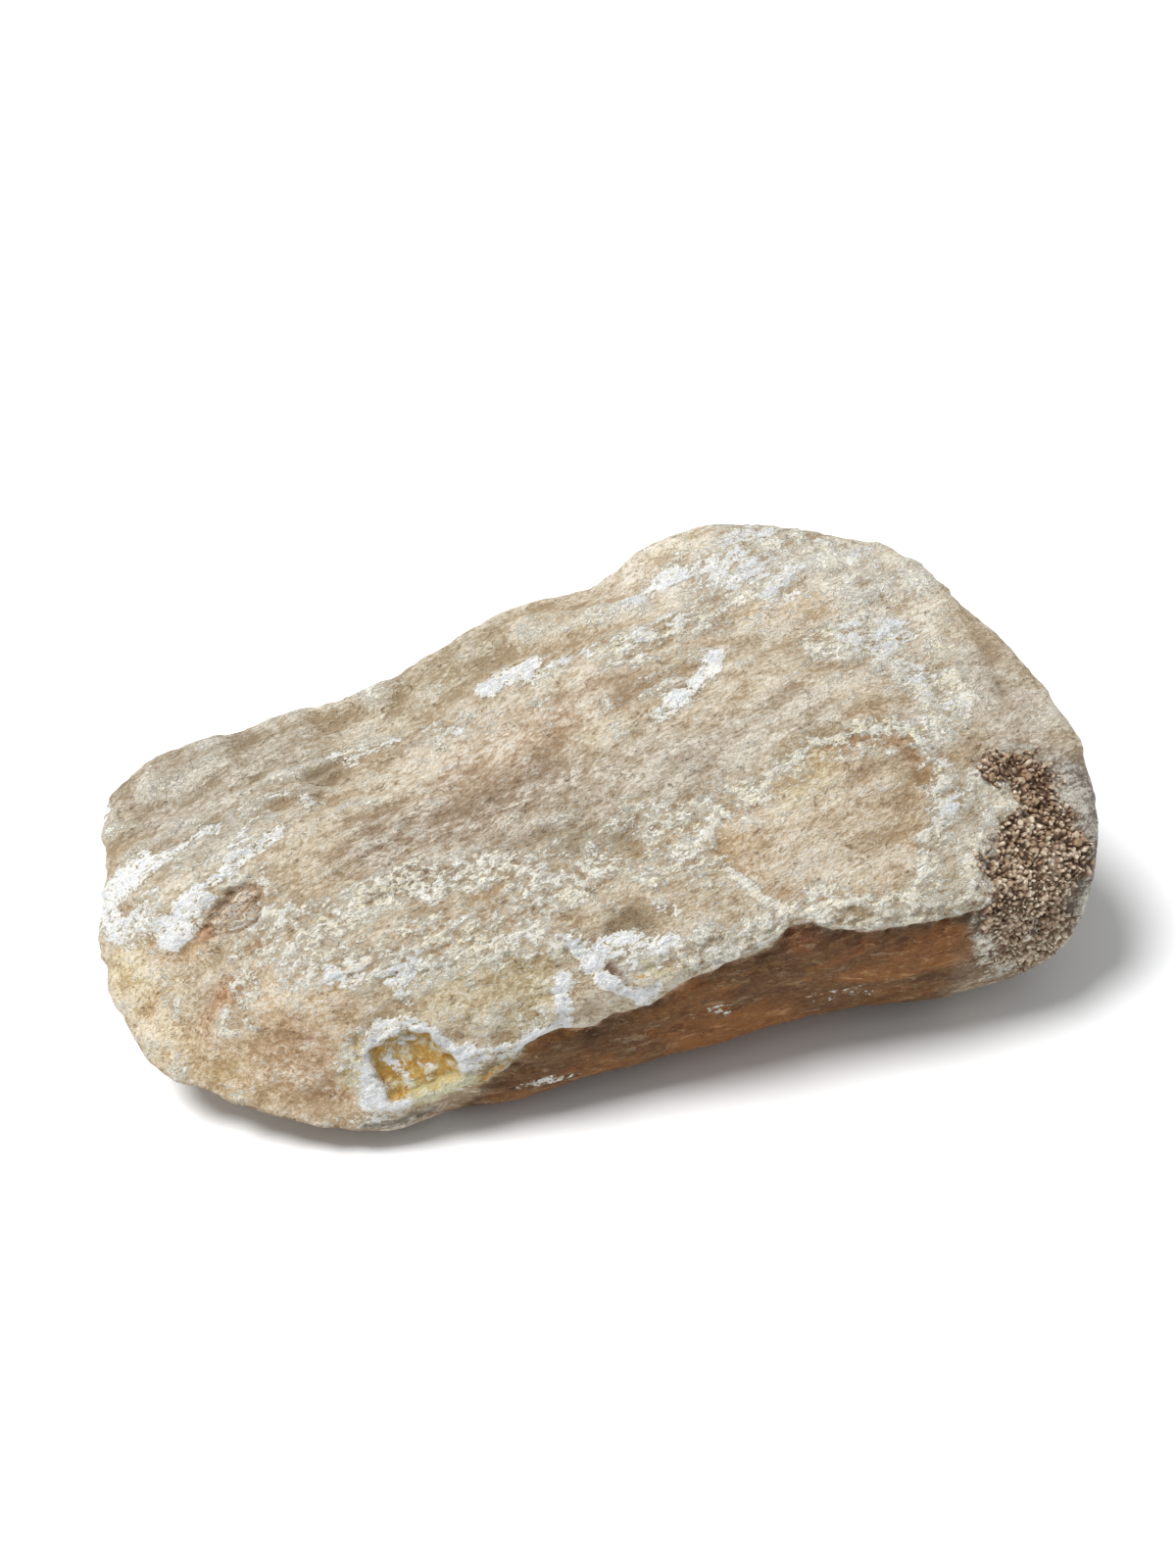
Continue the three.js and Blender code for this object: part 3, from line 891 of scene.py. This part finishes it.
# One crystal. Towards the edge of the crust they are narrower and lower.
def grow_one(bm, place, i, draw):
    edge = clamp(crust[i] / 0.6)
    wide = draw.uniform(*CRYSTAL_WIDE) * (0.55 + 0.45 * edge)
    tall = draw.uniform(*CRYSTAL_TALL) * (0.4 + 0.6 * edge)
    swirl = noise.noise_vector(Vector(place) / 6)
    wide *= 1 + 0.9 * swirl.x
    lean = Vector(normals[i]) + 1.1 * swirl + Vector(draw.normal(0, CRYSTAL_STRAY, 3))
    lean.normalize()
    turn = lean.to_track_quat("Z", "Y").to_matrix().to_4x4()
    spin = Matrix.Rotation(draw.uniform(0, math.tau), 4, "Z")
    blade = Matrix.Diagonal((1, draw.uniform(*CRYSTAL_FLAT), 1, 1))
    middle = Vector(place) + lean * tall * 0.1
    stand = Matrix.Translation(middle * MM) @ turn @ spin @ blade
    made = bmesh.ops.create_cone(
        bm, cap_ends=True, cap_tris=True, segments=CRYSTAL_SIDES, radius1=wide * MM,
        radius2=wide * draw.uniform(*CRYSTAL_TIP) * MM, depth=tall * MM, matrix=stand,
    )
    shade = draw.uniform(0, 1) + 0.8 * noise.noise(Vector(place) / 8)
    shade = clamp(shade + PALE_FOOT_SHARE * (PALE_FOOT_TOP - place[2]))
    tip, tone = (bm.verts.layers.float[name] for name in ("tip", "tone"))
    for vert in made["verts"]:
        vert[tip] = clamp((vert.co / MM - middle).dot(lean) / tall + 0.5)
        vert[tone] = shade


def grow_crystals():
    bm = bmesh.new()
    for name in ("tip", "tone"):
        bm.verts.layers.float.new(name)
    places, draw = crystal_places()
    for place, i in places:
        grow_one(bm, place, i, draw)
    return bm, len(places)


crystal_bm, crystal_count = grow_crystals()
low, high = cad_box
for vert in crystal_bm.verts:
    vert.co = Vector(min(max(v, least), most) for v, least, most in zip(vert.co, low, high))
crystals = make_object("crust_crystals", crystal_bm)
print(crystal_count, "crystals,", len(crystals.data.polygons), "faces")

# %% [markdown]
# ## The rind's material
#
# One material covers the whole stone, because on the real one each finish runs into the next. It
# starts from the painted stains, breaks them up with noise drawn out along the layers, then lays
# cream crumbs, white chalk and honey calcite over them where the measures on the points say so. The
# measures say how much of a place is covered, and fine noise decides which grains are. Each finish
# has a short function, and the last one puts them together.

# %% Small helpers that add nodes
class Recipe:
    def __init__(self, name):
        self.material = bpy.data.materials.new(name)
        self.material.use_nodes = True
        self.tree = self.material.node_tree
        self.shader = self.tree.nodes["Principled BSDF"]

    def node(self, kind, **settings):
        made = self.tree.nodes.new(kind)
        for name, value in settings.items():
            setattr(made, name, value)
        return made

    def feed(self, socket, value):
        if isinstance(value, bpy.types.NodeSocket):
            self.tree.links.new(value, socket)
        elif isinstance(value, tuple) and len(value) == 3 and socket.type == "RGBA":
            socket.default_value = (*value, 1)
        else:
            socket.default_value = value

    def measure(self, name, output="Fac"):
        return self.node("ShaderNodeAttribute", attribute_name=name).outputs[output]

    # Places drawn out along the layers.
    def drawn_out(self, stretch, turn=BEDDING):
        return self.millimetres(turn, (stretch, 1, 1))

    def millimetres(self, turn=0.0, scale=(1, 1, 1)):
        place = self.node("ShaderNodeTexCoord").outputs["Object"]
        mapping = self.node("ShaderNodeMapping")
        self.feed(mapping.inputs["Vector"], place)
        mapping.inputs["Rotation"].default_value = (0, 0, turn)
        mapping.inputs["Scale"].default_value = (1 / MM,) * 3
        drawn = self.node("ShaderNodeMapping")
        self.feed(drawn.inputs["Vector"], mapping.outputs["Vector"])
        drawn.inputs["Scale"].default_value = scale
        return drawn.outputs["Vector"]

    def noise(self, where, size, detail=4, roughness=0.55, distortion=0.0):
        made = self.node("ShaderNodeTexNoise")
        self.feed(made.inputs["Vector"], where)
        self.feed(made.inputs["Scale"], 1 / size)
        self.feed(made.inputs["Detail"], detail)
        self.feed(made.inputs["Roughness"], roughness)
        self.feed(made.inputs["Distortion"], distortion)
        return made.outputs["Fac"]

    # Thin crooked lines, where a noise passes through its middle value.
    def lines(self, where, size, width):
        away = self.sum(self.sum(self.noise(where, size, 3, 0.6, 1.2), -0.5), 0, "ABSOLUTE")
        return self.step(away, width, width / 4)

    def step(self, value, low, high, least=0.0, most=1.0):
        made = self.node("ShaderNodeMapRange", interpolation_type="SMOOTHSTEP")
        sockets = ("Value", "From Min", "From Max", "To Min", "To Max")
        for socket, fed in zip(sockets, (value, low, high, least, most)):
            self.feed(made.inputs[socket], fed)
        return made.outputs["Result"]

    def sum(self, first, second, operation="ADD"):
        made = self.node("ShaderNodeMath", operation=operation)
        self.feed(made.inputs[0], first)
        self.feed(made.inputs[1], second)
        return made.outputs["Value"]

    def times(self, first, second):
        return self.sum(first, second, "MULTIPLY")

    # How far a noise strays from its middle.
    def stray(self, value):
        return self.sum(value, -0.5)

    def weighted(self, first, *others):
        total = self.times(*first)
        for pair in others:
            total = self.sum(total, self.times(*pair))
        return total

    def mix(self, share, first, second, blend="MIX"):
        made = self.node("ShaderNodeMix", data_type="RGBA", blend_type=blend)
        self.feed(made.inputs["Factor"], share)
        self.feed(made.inputs["A"], first)
        self.feed(made.inputs["B"], second)
        return made.outputs["Result"]

    def tint(self, share, colour, by):
        return self.mix(share, colour, by, "MULTIPLY")

    # Where a share of the grains is covered: the grains are a noise, and the share picks how many.
    def some_of(self, share, grains, soft=0.12):
        level = self.sum(share, self.step(grains, 0.27, 0.73))
        return self.step(level, 1.0 - soft, 1.0 + soft)

    def bump(self, height, strength, distance):
        made = self.node("ShaderNodeBump")
        made.inputs["Strength"].default_value = strength
        made.inputs["Distance"].default_value = distance * MM
        self.feed(made.inputs["Height"], height)
        self.feed(self.shader.inputs["Normal"], made.outputs["Normal"])


# %% [markdown]
# Several finishes use the same grains, so they are made once. They run from broad patches 17 mm
# across down to specks of half a millimetre.

# %% Make the grains
STREAK_TURN = math.radians(-14)


class Grains:
    def __init__(self, r):
        self.place = r.millimetres()
        self.drawn = r.drawn_out(0.4)
        self.stain = r.measure("stain", "Color")
        self.chalk = r.measure("chalk")
        self.cream = r.measure("cream")
        self.crest = r.stray(r.measure("crest"))
        self.broad = r.noise(self.drawn, 17, 5, 0.6, 0.5)
        self.middle = r.noise(self.drawn, 5, 6, 0.65, 0.4)
        self.ragged = r.noise(self.drawn, 3.0, 9, 0.76, 0.8)
        self.crumbly = r.noise(self.place, 2.4, 6, 0.68, 0.6)
        self.flecks = r.noise(r.drawn_out(0.6), 1.1, 5, 0.7, 0.5)
        self.fibres = r.noise(r.drawn_out(0.22), 0.9, 4, 0.7, 0.7)
        self.speckle = r.noise(self.place, 0.5, 2, 0.6)
        self.curly = r.noise(r.drawn_out(0.5), 2.0, 8, 0.72, 1.4)
        self.streaky = r.noise(r.drawn_out(0.25, STREAK_TURN), 2.4, 8, 0.72, 0.9)
        # The crest measure darkens hollows as painted shade and lightens the crests, which are rubbed
        # pale.
        self.tone = r.weighted(
            (self.broad, 0.2), (self.middle, 0.22), (self.flecks, 0.33), (self.fibres, 0.2),
            (self.speckle, 0.06), (self.crest, 0.12),
        )
        self.scatter = r.weighted(
            (r.stray(self.curly), 2.4), (r.stray(self.flecks), 2.0),
            (r.stray(self.speckle), 0.8), (r.stray(self.ragged), 1.2),
        )


# %% [markdown]
# The tan ground is the stain, darker and paler by turns, with dark specks, crevices painted darker as dirt
# and painted shadow, and thin cracks. In the recess the edges of the layers show as brown lines.

# %% Mix the tan ground
TAN_SHADE = (0.62, 0.53, 0.43)
TAN_LIGHT = paint(250, 243, 228)
SPECK_SHADE = (0.5, 0.42, 0.34)
DIRT_AND_SHADOW_TINT = (0.5, 0.44, 0.36)
CRACK_SHADE = (0.45, 0.36, 0.28)
LAYER_SHADE = (0.3, 0.2, 0.14)
LAYER_TURN = math.radians(-30)


def tan_ground(r, g):
    colour = r.mix(r.step(g.tone, 0.52, 0.43), g.stain, r.tint(1.0, g.stain, TAN_SHADE))
    colour = r.mix(r.step(g.tone, 0.5, 0.57), colour, r.mix(0.65, g.stain, TAN_LIGHT))
    colour = r.tint(r.step(g.speckle, 0.64, 0.7, 0, 0.6), colour, SPECK_SHADE)
    # Crevices painted darker: partly dirt, partly painted shadow.
    dirt_and_shadow = r.some_of(r.times(r.measure("dark"), 0.75), g.flecks, 0.16)
    return r.tint(r.times(dirt_and_shadow, 0.8), colour, DIRT_AND_SHADOW_TINT)


def with_lines(r, g, colour):
    cracks = r.times(r.lines(g.drawn, 7.0, 0.02), r.step(g.crumbly, 0.54, 0.6))
    colour = r.tint(r.times(cracks, 0.5), colour, CRACK_SHADE)
    layers = r.lines(r.drawn_out(0.16, LAYER_TURN), 1.6, 0.03)
    layers = r.times(layers, r.step(r.measure("recess"), 0.3, 0.9))
    return r.tint(r.times(layers, 0.8), colour, LAYER_SHADE), r.sum(cracks, layers, "MAXIMUM")


# %% [markdown]
# Cream lies on the crests inside its strokes, with the pits between them painted darker as painted shade,
# and thin paler curls at the edges. Chalk is streaked along the layers. Where it is thin it is cream, and
# only thick chalk is white.

# %% Mix the cream and the chalk
CREAM_PAINTS = [paint(255, 243, 212), paint(255, 250, 232)]
CURL_PAINT = paint(255, 252, 243)
CHALK_PAINT = paint(246, 247, 248)
PIT_SHADOW_TINT = (0.66, 0.55, 0.45)


def cream_paint(r, g):
    return r.mix(r.step(g.middle, 0.4, 0.6), *CREAM_PAINTS)


def with_cream(r, g, colour):
    net = r.sum(r.lines(g.drawn, 3.6, 0.04), r.lines(g.place, 1.9, 0.04), "MAXIMUM")
    share = r.weighted((g.cream, 0.76), (g.crest, 1.2), (r.stray(g.broad), 0.8))
    level = r.sum(share, g.scatter)
    creamy = r.step(level, 0.5, 0.62)
    curls = r.times(net, r.step(level, 0.36, 0.5))
    # Painted shade in the pits between the cream crumbs.
    pit_shadows = r.times(r.step(level, 0.24, -0.1), r.step(g.cream, 0.2, 0.7))
    colour = r.tint(r.times(pit_shadows, 0.55), colour, PIT_SHADOW_TINT)
    colour = r.mix(r.times(creamy, 0.9), colour, cream_paint(r, g))
    return r.mix(r.times(curls, 0.9), colour, CURL_PAINT), creamy, curls


def with_chalk(r, g, colour):
    level = r.weighted((g.chalk, 0.86), (g.crest, 0.5), (r.stray(g.streaky), 1.8), (g.scatter, 0.7))
    white = r.times(r.step(level, 0.5, 0.66), r.step(g.chalk, 0.0, 0.15))
    chalk_paint = r.mix(r.step(level, 0.55, 0.95), cream_paint(r, g), CHALK_PAINT)
    return r.mix(white, colour, chalk_paint), white


# %% [markdown]
# The overhang is rusty brown with pale scratches; its brown is painted darker than the calcite's own, as
# painted shade under the lip. In the windows the calcite is clear and amber under a broken white veil.
# Round the crystals the rind is stained brown.

# %% Mix the overhang, the clear calcite and the stain of the crust
BROWN_SHADE = (0.55, 0.46, 0.38)
SCRATCH_PAINT = paint(196, 164, 124)
RUST_TINTS = [(0.8, 0.84, 0.9), (1.22, 1.05, 0.86)]
AMBER_PAINTS = [paint(186, 136, 56), paint(206, 168, 92)]
VEIL_PAINT = paint(236, 230, 208)
PALE_HONEY_PAINT = paint(216, 206, 152)
CRUST_PAINTS = [paint(92, 64, 46), paint(150, 124, 100)]
SCRATCH_TURN = math.radians(-4)
VEIL_TURN = math.radians(35)


def with_overhang(r, g, colour):
    # The stain here holds the overhang's brown and its painted shade.
    brown = r.tint(r.step(g.tone, 0.54, 0.43), g.stain, BROWN_SHADE)
    scratches = r.noise(r.drawn_out(0.3, SCRATCH_TURN), 2.2, 8, 0.72, 0.8)
    brown = r.mix(r.step(scratches, 0.53, 0.64, 0, 0.6), brown, SCRATCH_PAINT)
    brown = r.tint(1.0, brown, r.mix(r.step(g.broad, 0.42, 0.58), *RUST_TINTS))
    edge = r.sum(r.measure("under"), r.times(r.stray(g.ragged), 1.2))
    return r.mix(r.step(edge, 0.2, 0.6), colour, brown)


def with_clear(r, g, colour, white):
    level = r.sum(r.measure("honey"), r.weighted((r.stray(g.ragged), 2.0), (r.stray(g.flecks), 1.2)))
    clear = r.times(r.step(level, 0.42, 0.62), r.step(r.times(white, g.chalk), 0.7, 0.3))
    clear = r.times(clear, r.step(r.measure("honey"), 0.02, 0.2))
    veil = r.noise(r.millimetres(VEIL_TURN, (1, 0.5, 1)), 3.4, 9, 0.74, 0.6)
    amber = r.mix(r.step(veil, 0.4, 0.52), *AMBER_PAINTS)
    amber = r.mix(r.step(veil, 0.51, 0.6, 0, 0.85), amber, VEIL_PAINT)
    pale = r.some_of(r.measure("pale_honey"), g.ragged, 0.3)
    return r.mix(r.times(pale, 0.7), r.mix(clear, colour, amber), PALE_HONEY_PAINT), clear


def with_crust(r, g, colour):
    crusty = r.some_of(r.times(r.measure("crust"), 0.9), g.crumbly, 0.25)
    return r.mix(crusty, colour, r.mix(r.step(g.flecks, 0.4, 0.6), *CRUST_PAINTS))


# %% [markdown]
# The finishes are laid over each other in this order. Only clear calcite is glossy and lets light in.

# %% Put the rind together
RIND_ROUGHNESS = 0.88
CLEAR_ROUGHNESS = 0.25
CLEAR_GLOW = 0.5
GLOW_RADIUS = (1.0, 0.6, 0.25)
GLOW_SCALE = 0.004
CALCITE_IOR = 1.5
BUMP_HEIGHT = 1.6


def rind_material():
    r = Recipe("weathered_calcite_rind")
    g = Grains(r)
    colour, cuts = with_lines(r, g, tan_ground(r, g))
    colour, creamy, curls = with_cream(r, g, colour)
    colour = with_overhang(r, g, colour)
    colour, white = with_chalk(r, g, colour)
    colour, clear = with_clear(r, g, colour, white)

    r.feed(r.shader.inputs["Base Color"], with_crust(r, g, colour))
    r.feed(r.shader.inputs["Roughness"], r.step(clear, 0, 1, RIND_ROUGHNESS, CLEAR_ROUGHNESS))
    r.feed(r.shader.inputs["Subsurface Weight"], r.step(clear, 0, 1, 0.0, CLEAR_GLOW))
    r.shader.inputs["Subsurface Radius"].default_value = GLOW_RADIUS
    r.shader.inputs["Subsurface Scale"].default_value = GLOW_SCALE
    r.shader.inputs["IOR"].default_value = CALCITE_IOR
    crumbs_here = r.sum(creamy, white, "MAXIMUM")
    r.bump(r.weighted(
        (g.crumbly, 0.6), (g.flecks, 0.6), (g.fibres, 0.35), (g.speckle, 0.25),
        (crumbs_here, 0.14), (curls, 0.12), (cuts, -0.25),
    ), 1.0, BUMP_HEIGHT)
    return r.material


stone.data.materials.append(rind_material())

# %% [markdown]
# The crystals are dark brown at the foot, partly dirt and partly painted shade between them, and pale at
# the tip, with a fine mottle between.

# %% Mix the crystals
TIP_PAINTS = [paint(160, 132, 104), paint(222, 208, 186)]
# Dark feet: partly dirt, partly painted shade between the crystals.
FOOT_DIRT_AND_SHADE_PAINTS = [paint(82, 54, 36), paint(146, 120, 94)]
CRYSTAL_ROUGHNESS = 0.6


def crystal_material():
    r = Recipe("crust_crystal")
    tip = r.measure("tip")
    tone = r.measure("tone")
    mottle = r.noise(r.millimetres(), 1.1, 3)
    level = r.sum(tip, r.times(r.stray(mottle), 0.8))
    colour = r.mix(r.step(level, 0.4, 0.9), r.mix(tone, *FOOT_DIRT_AND_SHADE_PAINTS), r.mix(tone, *TIP_PAINTS))
    r.feed(r.shader.inputs["Base Color"], colour)
    r.shader.inputs["Roughness"].default_value = CRYSTAL_ROUGHNESS
    r.shader.inputs["IOR"].default_value = CALCITE_IOR
    return r.material


crystals.data.materials.append(crystal_material())

# %% [markdown]
# ## Table and light
#
# A pale, plain table and one broad, soft light from above and the left, a little from behind, as
# under a cloudy sky. The overhang along the front is left in shade, which is what shows its shape.

# %% Set the table and the light
FLOOR_SIZE = 20.0
SUN_STRENGTH = 3.45
SUN_SOFTNESS = math.radians(24)
SUN_FROM = Vector((-0.5, 0.12, 1.0))
SKY_STRENGTH = 0.42
SKY_COLOUR = (0.95, 0.98, 1.0, 1)
TABLE_PAINT = paint(246, 246, 246)
TABLE_ROUGHNESS = 0.9


def make_floor():
    bm = bmesh.new()
    bmesh.ops.create_grid(bm, x_segments=1, y_segments=1, size=FLOOR_SIZE / 2)
    mesh = bpy.data.meshes.new("floor")
    bm.to_mesh(mesh)
    bm.free()
    floor = bpy.data.objects.new("floor", mesh)
    bpy.context.scene.collection.objects.link(floor)
    r = Recipe("pale_table")
    r.feed(r.shader.inputs["Base Color"], TABLE_PAINT)
    r.feed(r.shader.inputs["Roughness"], TABLE_ROUGHNESS)
    mesh.materials.append(r.material)
    return floor


def make_light():
    data = bpy.data.lights.new("soft_light", "SUN")
    data.energy = SUN_STRENGTH
    data.angle = SUN_SOFTNESS
    light = bpy.data.objects.new("soft_light", data)
    bpy.context.scene.collection.objects.link(light)
    light.rotation_euler = SUN_FROM.to_track_quat("Z", "Y").to_euler()
    world = bpy.data.worlds.new("sky")
    world.use_nodes = True
    background = world.node_tree.nodes["Background"]
    background.inputs["Color"].default_value = SKY_COLOUR
    background.inputs["Strength"].default_value = SKY_STRENGTH
    bpy.context.scene.world = world
    bpy.context.scene.view_settings.view_transform = "Standard"


floor = make_floor()
make_light()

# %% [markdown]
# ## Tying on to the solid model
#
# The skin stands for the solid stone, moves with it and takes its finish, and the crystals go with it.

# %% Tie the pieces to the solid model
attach(stone, "root")
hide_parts("calcite_stone")
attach(crystals, "root")
